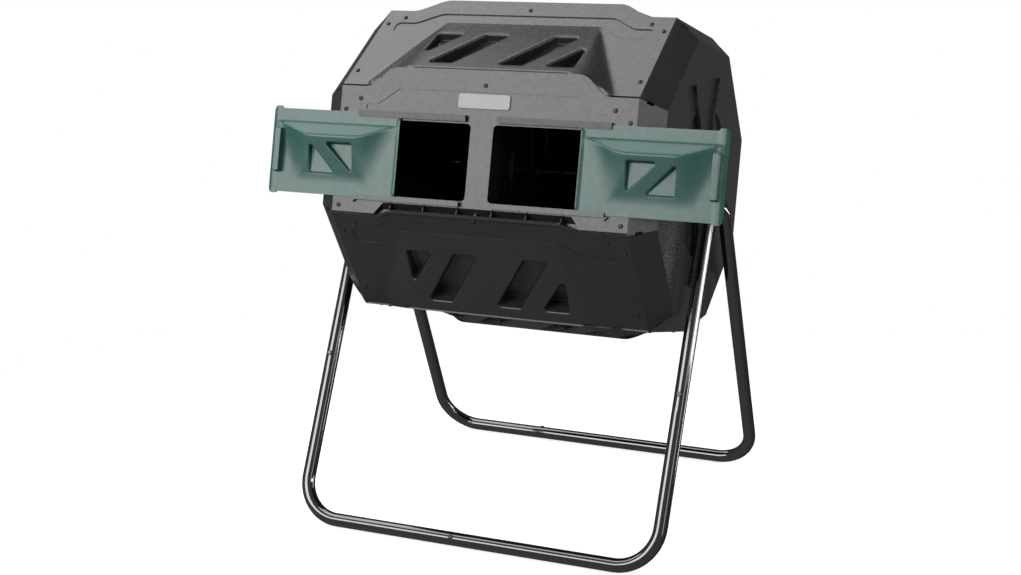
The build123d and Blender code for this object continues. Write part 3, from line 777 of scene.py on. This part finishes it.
def soften(piece: bpy.types.Object, edge: float, weld: bool = True) -> None:
    """Round a piece's sharp edges so that they catch the light.

    Args:
        piece: Mesh object.
        edge: Width of the rounding in millimetres.
        weld: Join split points first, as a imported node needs.
    """
    if weld:
        join = piece.modifiers.new("join", "WELD")
        join.merge_threshold = JOIN_REACH * MM
        plain = piece.modifiers.new("plain", "DECIMATE")
        plain.decimate_type = "DISSOLVE"
        plain.angle_limit = math.radians(FLAT_ANGLE)
    bevel = piece.modifiers.new("edge", "BEVEL")
    bevel.width = edge * MM
    bevel.segments = BROKEN_STEPS
    bevel.limit_method = "ANGLE"
    bevel.angle_limit = math.radians(BROKEN_ANGLE)
    bevel.harden_normals = True
    bevel.use_clamp_overlap = True


# ---------------------------------------------------------------- drum panels
@dataclass(frozen=True)
class Flap:
    """Raised middle of a panel's upper edge, which laps over the next panel."""

    reach: float
    half_top: float
    run: float  # length of the sloping shoulder
    lip: bool = False  # thick rounded edge

    def rise(self, u: np.ndarray) -> np.ndarray:
        """Height of the edge over the panel's corner line."""
        return self.reach * ease((self.half_top + self.run - np.abs(u)) / self.run)


@dataclass
class PlainPanels:
    """The seven plain panels: a sloping boss with four pockets, a channel above it and a flap on top."""

    axle: tuple[float, float, float]
    palette: Palette
    half_length: float = 281.3
    half_side: float = 115.15
    low_edge: float = -110.9  # where a panel meets the one below it
    boss_top: float = 80.0
    boss_length: float = 198.0
    boss_half_top: float = 150.0
    boss_half_foot: float = 240.0
    boss_slope: float = 0.153
    boss_flare: float = 0.433  # slope of the boss's side walls
    boss_fillet: float = 4.0
    boss_round: float = 12.0
    pocket_floor: float = -8.0
    pocket_top: float = 40.0
    pocket_middle: float = -12.5
    pocket_rim: float = 4.0
    pocket_draft: float = 1.5
    pocket_corner: float = 4.5
    channel_depth: float = 1.8
    channel_bend: float = 9.0
    flap: Flap = Flap(36.3, 168.0, 68.0)
    low_flap: Flap = Flap(18.0, 150.0, 54.0, True)
    lip_radius: float = 3.4
    lip_half: float = 205.0
    lip_fade: float = 40.0
    edge_points: int = 114
    fine_rows: tuple[float, float] = (-109.0, -76.0)  # over the foot of the boss
    angles: dict[str, float] = field(
        default_factory=lambda: {
            "panel_upper_front": 45,
            "panel_top": 90,
            "panel_upper_back": 135,
            "panel_back": 180,
            "panel_lower_back": 225,
            "panel_bottom": 270,
            "panel_lower_front": 315,
        }
    )

    def build(self) -> None:
        """Make and dress every plain panel."""
        for node, angle in self.angles.items():
            flap = self.low_flap if node == "panel_lower_front" else self.flap
            skin = Skin(self._outline(flap), self._height(flap), self._features(), fine=self.fine_rows)
            face = DrumFace(angle, self.axle)
            piece = add_piece(f"{node}_skin", skin.mesh(f"{node}_skin", face.place), "drum")
            thicken(piece, skin.wall)
            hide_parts(node)
            self.palette.dress(piece, Finish.DRUM_POLYPROPYLENE)

    def _outline(self, flap: Flap) -> Outline:
        """Draw a panel's outline, with the flap's rise as a smooth curve.

        Args:
            flap: The panel's flap.

        Returns:
            The outline, counter-clockwise.
        """
        across = np.linspace(self.half_length, -self.half_length, self.edge_points)
        rise = self.half_side + flap.rise(across)
        return [
            (-self.half_length, self.low_edge),
            (self.half_length, self.low_edge),
            *[(float(u), float(v)) for u, v in zip(across, rise)],
        ]

    def _height(self, flap: Flap) -> HeightRule:
        """Write the height rule of a panel, with a thick lip on a flap that shows its edge.

        Args:
            flap: The panel's flap.

        Returns:
            The rule, from u and v to w.
        """
        spread = (self.boss_half_foot - self.boss_half_top) / self.boss_length

        def rule(u: np.ndarray, v: np.ndarray) -> np.ndarray:
            """Give the height of the skin at each point of the face.

            Args:
                u: Place of each point along the axle.
                v: Its place up the face.

            Returns:
                The heights.
            """
            front = self.boss_slope * (self.boss_top - v)
            half_base = self.boss_half_top + spread * (self.boss_top - v)
            side = self.boss_flare * (half_base - np.abs(u))
            side = soft_max(side, np.zeros_like(side), np.clip(0.4 * front, 0, self.boss_fillet))
            lift = np.maximum(front, 0)
            height = soft_min(lift, side, np.clip(0.6 * lift, 0, self.boss_round))
            height = np.minimum(np.maximum(height, 0), np.maximum(v - self.low_edge, 0))
            if flap.lip:
                edge = self.half_side + flap.rise(u) - v
                round_edge = self.lip_radius**2 - (edge - self.lip_radius) ** 2
                bead = np.sqrt(np.maximum(round_edge, 0)) * (edge < 2 * self.lip_radius)
                height = np.maximum(height, bead * ease((self.lip_half - np.abs(u)) / self.lip_fade))
            return height

        return rule

    def _features(self) -> list[Feature]:
        """Lay out four pockets and the channel.

        Returns:
            The features of one panel.
        """
        triangle = [(-150, self.pocket_top), (-99, self.pocket_top), (-150, -32)]
        slant = [(-56, self.pocket_top), (-10, self.pocket_top), (-79, -65), (-125, -65)]
        shapes = [triangle, slant]
        # The right half is the left one turned by half a turn about the pockets' middle.
        shapes += [[(-u, 2 * self.pocket_middle - v) for u, v in shape] for shape in shapes]
        steps = pocket_steps(self.pocket_floor, self.pocket_rim, self.pocket_draft, Level.FACE)
        pockets = []
        for shape in shapes:
            turned = shape if signed_area(shape) > 0 else shape[::-1]
            pockets.append(Feature(rounded(turned, self.pocket_corner), steps))
        outer = [(252, 48.5), (252, 78), (214, 78), (170, 108.5)]
        inner = [(197, 48.5), (155, 81.5)]
        channel = outer + [(-u, v) for u, v in outer[::-1]] + [(-u, v) for u, v in inner] + inner[::-1]
        depth = self.channel_depth
        walls = (
            Step(-0.5, 0),
            Step(-0.1, -0.25),
            Step(0.15, -depth + 0.3, Level.FACE),
            Step(0.6, -depth, Level.FACE),
        )
        return [*pockets, Feature(rounded(channel, run=self.channel_bend), walls)]


# ---------------------------------------------------------------- doors
@dataclass
class SlidingDoor:
    """One sliding door: a thin plate with an awning-shaped grip, two pockets, a pull bar and a rolled end."""

    node: str
    body: str
    side: int
    inner_edge: float
    axle: tuple[float, float, float]
    palette: Palette
    length: float = 258.0
    low: float = -84.0
    high: float = 68.0
    plate: float = 4.5
    ledge: float = 44.0
    crest: float = 22.0
    foot: float = -55.0
    grip_height: float = 16.0
    grip_half_top: float = 111.0
    grip_half_foot: float = 59.0
    grip_fillet: float = 2.5
    grip_side_fillet: float = 10.0
    grip_round: float = 9.0
    ledge_round: float = 1.2
    block: float = 19.0  # length of the thicker outer end
    block_run: float = 3.0
    block_low: float = 3.0  # how far it stands past the plate's lower edge
    block_high: float = 4.0
    block_corner: float = 9.0
    block_rise: float = 0.8
    roll: float = 5.0  # width of the rounding at the outer end
    roll_drop: float = 2.3
    bead_rise: float = 1.4  # the bead along the inner edge
    bead_width: float = 4.5
    bead_low: float = -77.5
    bead_high: float = 59.0
    pocket_floor: float = 3.4
    pocket_rim: float = 1.9
    pocket_draft: float = 1.2
    pocket_corner: float = 3.4
    bar_height: float = 12.0
    bar_corner: float = 3.2
    pitch: float = 3.0
    wall: float = 2.6
    edge: float = 0.8

    def build(self) -> None:
        """Make and dress the door."""
        skin = Skin(self._outline(), self._height, self._features(), self.pitch, self.wall)
        face = DrumFace(0, self.axle)
        mesh = skin.mesh(f"{self.node}_skin", lambda points: face.place(self._seat(points)))
        if self.side < 0:
            mesh.flip_normals()
        piece = add_piece(f"{self.node}_skin", mesh, self.body)
        thicken(piece, skin.wall, self.edge)
        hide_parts(self.node)
        self.palette.dress(piece, Finish.DOOR_POLYPROPYLENE)

    def _seat(self, points: np.ndarray) -> np.ndarray:
        """Turn distance from the inner edge into distance along the axle.

        Args:
            points: N by 3 array, with the distance in its first column.

        Returns:
            The moved points.
        """
        moved = points.copy()
        moved[:, 0] = self.side * (self.inner_edge + points[:, 0])
        return moved

    def _outline(self) -> Outline:
        """Draw the door: a plate whose rolled end stands past it at top and bottom.

        Returns:
            The outline, counter-clockwise.
        """
        neck = self.length - self.block
        corner = self.block_corner
        bottom, top = self.low - self.block_low, self.high + self.block_high
        angles = np.linspace(-math.pi / 2, 0, 5)
        turn = [(self.length - corner + corner * math.cos(a), math.sin(a)) for a in angles]
        low_turn = [(x, bottom + corner + corner * s) for x, s in turn]
        high_turn = [(x, top - corner - corner * s) for x, s in turn[::-1]]
        return [
            (0, self.low),
            (neck, self.low),
            (neck + self.block_run, bottom),
            *low_turn,
            *high_turn,
            (neck + self.block_run, top),
            (neck, self.high),
            (0, self.high),
        ]

    def _height(self, d: np.ndarray, v: np.ndarray) -> np.ndarray:
        """Give the height of the door's front over the drum face.

        Args:
            d: Distance of each point from the inner edge.
            v: Its place up the face.

        Returns:
            The heights.
        """
        top = self.grip_height / (self.ledge - self.crest) * (self.ledge - v)
        slope = self.grip_height / (self.crest - self.foot)
        front = slope * (v - self.foot)
        narrowing = (self.grip_half_top - self.grip_half_foot) / (self.ledge - self.foot)
        flare = slope / narrowing
        across = np.abs(d - self.length / 2)
        side = flare * (self.grip_half_foot + narrowing * (v - self.foot) - across)
        front = soft_max(front, np.zeros_like(front), self.grip_fillet)
        side = soft_max(side, np.zeros_like(side), self.grip_side_fillet)
        grip = soft_min(front, side, np.clip(0.8 * front, 0, self.grip_round))
        grip = soft_min(grip, top, np.clip(0.3 * np.maximum(grip, 0), 0, self.ledge_round))
        rise = self.block_rise * ease((d - (self.length - self.block)) / 4)
        rolled = rise - self.roll_drop * ease((d - (self.length - self.roll)) / self.roll)
        bead = self.bead_rise * ease((self.bead_width - d) / 1.5) * (v > self.bead_low) * (v < self.bead_high)
        return self.plate + np.maximum(grip, 0) + rolled + bead

    def _features(self) -> list[Feature]:
        """Lay out two grip pockets and the pull bar.

        Returns:
            The features of the door.
        """
        hanging = [(87.5, 10), (87.5, -44), (143, 10)]
        standing = [(174.5, 9), (120, -46), (174.5, -46)]
        steps = pocket_steps(self.pocket_floor, self.pocket_rim, self.pocket_draft, Level.FACE)
        pockets = [Feature(rounded(shape, self.pocket_corner), steps) for shape in (hanging, standing)]
        bar = [(234, -48), (248, -48), (248, 32), (234, 32)]
        top = self.plate + self.bar_height
        climb = (
            Step(-0.8, 0),
            Step(0.0, 0.6),
            Step(0.9, top - 1.4, Level.FACE),
            Step(1.5, top - 0.4, Level.FACE),
            Step(2.6, top, Level.FACE),
        )
        return [*pockets, Feature(rounded(bar, self.bar_corner), climb)]


# ---------------------------------------------------------------- screws
@dataclass
class PanHeadScrews:
    """Pan-head screws with a cross recess, standing on a surface."""

    palette: Palette
    radius: float = 4.0
    head: float = 2.6
    rim: float = 0.7  # straight part of the head's side
    crown: float = 1.1  # radius left flat at the top
    recess: float = 0.9
    recess_foot: float = 0.5
    recess_depth: float = 1.2
    arm: float = 1.15  # how far the cross reaches past its middle
    sides: int = 24
    turn: float = 0.7  # each head stands turned this much from the one before, radians
    sunk: float = 0.05
    sharp_angle: float = 50.0

    def head_points(self) -> tuple[np.ndarray, list[list[int]]]:
        """Draw one head, with its axis along z.

        Returns:
            Points in millimetres and faces.
        """
        profile = [(self.radius, 0.0), (self.radius, self.rim)]
        for k in range(1, 7):
            angle = math.pi / 2 * k / 6
            r = self.crown + (self.radius - self.crown) * math.cos(angle)
            profile.append((r, self.rim + (self.head - self.rim) * math.sin(angle)))
        profile.append((self.recess, self.head - 0.1))
        profile.append((self.recess_foot, self.head - self.recess_depth))
        points, faces = [], []
        for row, (r, z) in enumerate(profile):
            for k in range(self.sides):
                angle = 2 * math.pi * k / self.sides
                arm = 1.0 + (self.arm * abs(math.cos(2 * angle)) ** 3 if row >= len(profile) - 3 else 0.0)
                points.append((r * arm * math.cos(angle), r * arm * math.sin(angle), z))
        for row in range(len(profile) - 1):
            for k in range(self.sides):
                a, b = row * self.sides + k, row * self.sides + (k + 1) % self.sides
                faces.append([a, b, b + self.sides, a + self.sides])
        faces.append([(len(profile) - 1) * self.sides + k for k in range(self.sides)])
        faces.append(list(range(self.sides))[::-1])
        return np.array(points), faces

    def gather(self, name: str, seats: list[tuple[Vector, Vector]], body: str, node: str) -> None:
        """Make one piece of many heads.

        Args:
            name: Name of the piece.
            seats: Point and outward direction of each screw, in metres.
            body: Body that carries them.
            node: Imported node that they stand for.
        """
        points, faces = self.head_points()
        verts, polys = [], []
        for index, (seat, out) in enumerate(seats):
            turn = out.to_track_quat("Z", "Y").to_matrix()
            spin = self.turn * index
            cos, sin = math.cos(spin), math.sin(spin)
            start = len(verts)
            for x, y, z in points:
                local = Vector((x * cos - y * sin, x * sin + y * cos, z)) * MM
                verts.append(seat + turn @ local)
            polys += [[start + i for i in face] for face in faces]
        mesh = bpy.data.meshes.new(name)
        mesh.from_pydata(verts, [], polys)
        mesh.shade_smooth()
        mesh.set_sharp_from_angle(angle=math.radians(self.sharp_angle))
        piece = add_piece(name, mesh, body)
        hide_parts(node)
        self.palette.dress(piece, Finish.BLACK_OXIDE)

    def panels(self, axle: tuple[float, float, float]) -> None:
        """Set the screws of all eight faces.

        Args:
            axle: Middle of the axle, in metres.
        """
        seats = []
        for angle in range(0, 360, 45):
            face = DrumFace(angle, axle)
            # The door panel's lowest screws stand in its corners.
            lowest = (269, -99.7) if angle == 0 else (270, -71)
            # The lower front panel's flap is lower than the others, and so is its screw.
            flap = 120 if angle == 315 else 125
            spots = [(0, flap)] + [(s * u, v) for u, v in ((242, 93), (270, 73), lowest) for s in (-1, 1)]
            ends = face.place(np.array([(u, v, w) for u, v in spots for w in (-self.sunk, 1.0)]))
            for low, high in zip(ends[::2], ends[1::2]):
                seats.append((Vector(low), Vector(high - low).normalized()))
        self.gather("panel_screw_heads", seats, "drum", "panel_screws")


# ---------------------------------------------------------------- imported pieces
@dataclass
class PackedPieces:
    """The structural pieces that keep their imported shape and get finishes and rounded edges."""

    nodes: dict[str, bpy.types.Object]
    palette: Palette

    def build(self) -> None:
        """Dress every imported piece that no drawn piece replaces."""
        for name, piece in self.nodes.items():
            finish, edge = self._finish(name)
            if finish is None:
                continue
            self.palette.dress(piece, finish)
            if edge:
                soften(piece, edge)
            LOG.info("%s dressed in %s", name, finish.value.name)

    def _finish(self, name: str) -> tuple[Finish | None, float]:
        """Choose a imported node's finish.

        Args:
            name: Name of the node.

        Returns:
            The finish, or None for a node that a drawn piece replaces, and the width of
            its broken edges in millimetres.
        """
        table = (
            ("door_panel", Finish.DRUM_POLYPROPYLENE, 0.7),
            ("end_cap", Finish.DRUM_POLYPROPYLENE, 2.6),
            ("divider_bushing", Finish.NYLON, 0.6),
            ("divider", Finish.DRUM_POLYPROPYLENE, 0.8),
            ("hub_bushing", Finish.NYLON, 0.0),
            ("name_badge", Finish.LACQUERED_ALUMINIUM, 0.0),
            ("leg_", Finish.POWDER_COAT, 0.0),
            ("axle_tube", Finish.POWDER_COAT, 0.0),
            ("axle_plug", Finish.NYLON, 0.0),
            ("axle_", Finish.BLACK_OXIDE, 0.4),
            ("stand_screws", Finish.BLACK_OXIDE, 0.3),
        )
        for start, finish, edge in table:
            if name.startswith(start):
                return finish, edge
        return None, 0.0


# ---------------------------------------------------------------- studio
@dataclass
class Softbox:
    """A soft light, placed by the direction it lies in from the drum."""

    name: str
    direction: tuple[float, float, float]
    distance: float
    width: float
    height: float
    power: float

    def build(self, target: Vector) -> None:
        """Add the light, turned towards the drum.

        Args:
            target: Point that it shines at, in metres.
        """
        data = bpy.data.lights.new(self.name, "AREA")
        data.shape = "RECTANGLE"
        data.size, data.size_y = self.width, self.height
        data.energy = self.power
        lamp = bpy.data.objects.new(self.name, data)
        bpy.context.scene.collection.objects.link(lamp)
        away = Vector(self.direction).normalized()
        lamp.location = target + away * self.distance
        level = (Vector((1, 0, 0)) - away * away.x).normalized()
        lamp.rotation_euler = Matrix((level, away.cross(level), away)).transposed().to_euler()


@dataclass
class Studio:
    """Camera, pale floor, white surround and soft lights."""

    target: Vector
    eye: tuple[float, float, float] = (1.1597, -2.8172, 1.1114)
    yaw: float = 23.384
    pitch: float = -12.8775
    lens: float = 57.29
    floor_half: float = 6.0
    floor_drop: float = 0.001
    fade_from: float = 0.5  # where the floor begins to fade, from its middle
    fade_to: float = 1.5

    def build(self) -> None:
        """Set the stage."""
        self._camera()
        self._floor()
        self._surround()
        for box in self._softboxes():
            box.build(self.target)
        bpy.context.scene.view_settings.view_transform = "Standard"

    def _camera(self) -> None:
        """Camera in front of the drum and to its right, a little above the doors."""
        data = bpy.data.cameras.new("camera")
        data.lens = self.lens
        data.sensor_width = 36.0
        camera = bpy.data.objects.new("camera", data)
        camera.location = self.eye
        camera.rotation_euler = (math.radians(90 + self.pitch), 0.0, math.radians(self.yaw))
        bpy.context.scene.collection.objects.link(camera)
        bpy.context.scene.camera = camera

    def _floor(self) -> None:
        """Pale floor that fades into the white surround."""
        mesh = bpy.data.meshes.new("floor")
        half = self.floor_half
        corners = [(-half, -half, 0), (half, -half, 0), (half, half, 0), (-half, half, 0)]
        mesh.from_pydata(corners, [], [(0, 1, 2, 3)])
        floor = bpy.data.objects.new("floor", mesh)
        floor.location = (0, 0, -self.floor_drop)
        bpy.context.scene.collection.objects.link(floor)
        material, tree = new_material("pale_floor")
        place = add_node(tree, "ShaderNodeTexCoord").outputs["Object"]
        far = add_node(tree, "ShaderNodeVectorMath", {"operation": "LENGTH"}, {0: place})
        fade = add_node(
            tree,
            "ShaderNodeMapRange",
            {
                "interpolation_type": "SMOOTHSTEP",
                "From Min": self.fade_from,
                "From Max": self.fade_to,
                "To Min": 0.0,
                "To Max": 1.0,
            },
            {"Value": far.outputs["Value"]},
        )
        paint = add_node(tree, "ShaderNodeBsdfDiffuse", {"Color": linear("#e0e0e0")})
        glow = add_node(tree, "ShaderNodeEmission", {"Color": linear("#ffffff"), "Strength": 0.7})
        lit = add_node(
            tree, "ShaderNodeAddShader", links={0: paint.outputs["BSDF"], 1: glow.outputs["Emission"]}
        )
        clear = add_node(tree, "ShaderNodeBsdfTransparent")
        mix = add_node(
            tree,
            "ShaderNodeMixShader",
            links={0: fade.outputs["Result"], 1: lit.outputs["Shader"], 2: clear.outputs["BSDF"]},
        )
        add_node(tree, "ShaderNodeOutputMaterial", links={"Surface": mix.outputs["Shader"]})
        mesh.materials.append(material)
        floor.visible_glossy = False
        floor.visible_diffuse = False

    def _surround(self) -> None:
        """White behind the object, and a dimmer room around it for its light."""
        world = bpy.data.worlds.new("surround")
        bpy.context.scene.world = world
        world.use_nodes = True
        tree = world.node_tree
        tree.nodes.clear()
        seen = add_node(tree, "ShaderNodeLightPath").outputs["Is Camera Ray"]
        toward = add_node(tree, "ShaderNodeTexCoord").outputs["Generated"]
        parts = add_node(tree, "ShaderNodeSeparateXYZ", links={0: toward})
        level = add_node(
            tree,
            "ShaderNodeMapRange",
            {"From Min": -0.5, "From Max": 0.5, "To Min": 0.29, "To Max": 0.08},
            {"Value": parts.outputs["Y"]},
        )
        room = add_node(
            tree, "ShaderNodeBackground", {"Color": linear("#ffffff")}, {"Strength": level.outputs["Result"]}
        )
        white = add_node(tree, "ShaderNodeBackground", {"Color": linear("#ffffff"), "Strength": 1.0})
        mix = add_node(
            tree,
            "ShaderNodeMixShader",
            links={0: seen, 1: room.outputs["Background"], 2: white.outputs["Background"]},
        )
        add_node(tree, "ShaderNodeOutputWorld", links={"Surface": mix.outputs["Shader"]})

    def _softboxes(self) -> list[Softbox]:
        """The studio's lights."""
        return [
            Softbox("softbox_front", (-0.41, -0.86, 0.292), 3.6, 2.8, 1.6, 84),
            Softbox("softbox_top", (-0.50, 0.03, 0.90), 3.2, 3.2, 2.96, 98),
            Softbox("softbox_right", (0.866, -0.46, 0.163), 3.4, 0.6, 1.6, 8),
            Softbox("softbox_side", (0.97, 0.05, 0.10), 3.4, 0.5, 2.2, 36),
            Softbox("softbox_rim", (0.88, 0.46, -0.08), 2.2, 0.2, 1.3, 9),
        ]


def main() -> None:
    """Load the frame, dress and build every piece, and set the studio."""
    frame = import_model()
    axle = tuple(frame["joints"][0]["pos_m"])  # the drum spins about its axle
    palette = Palette()
    PackedPieces(frame["nodes"], palette).build()
    PlainPanels(axle, palette).build()
    SlidingDoor("door_left", "door_left_body", -1, LEFT_DOOR_AT, axle, palette).build()
    SlidingDoor("door_right", "door_right_body", 1, RIGHT_DOOR_AT, axle, palette).build()
    PanHeadScrews(palette).panels(axle)
    Studio(Vector(axle)).build()


if __name__ == "__main__":
    logging.basicConfig(level=logging.INFO)
    main()
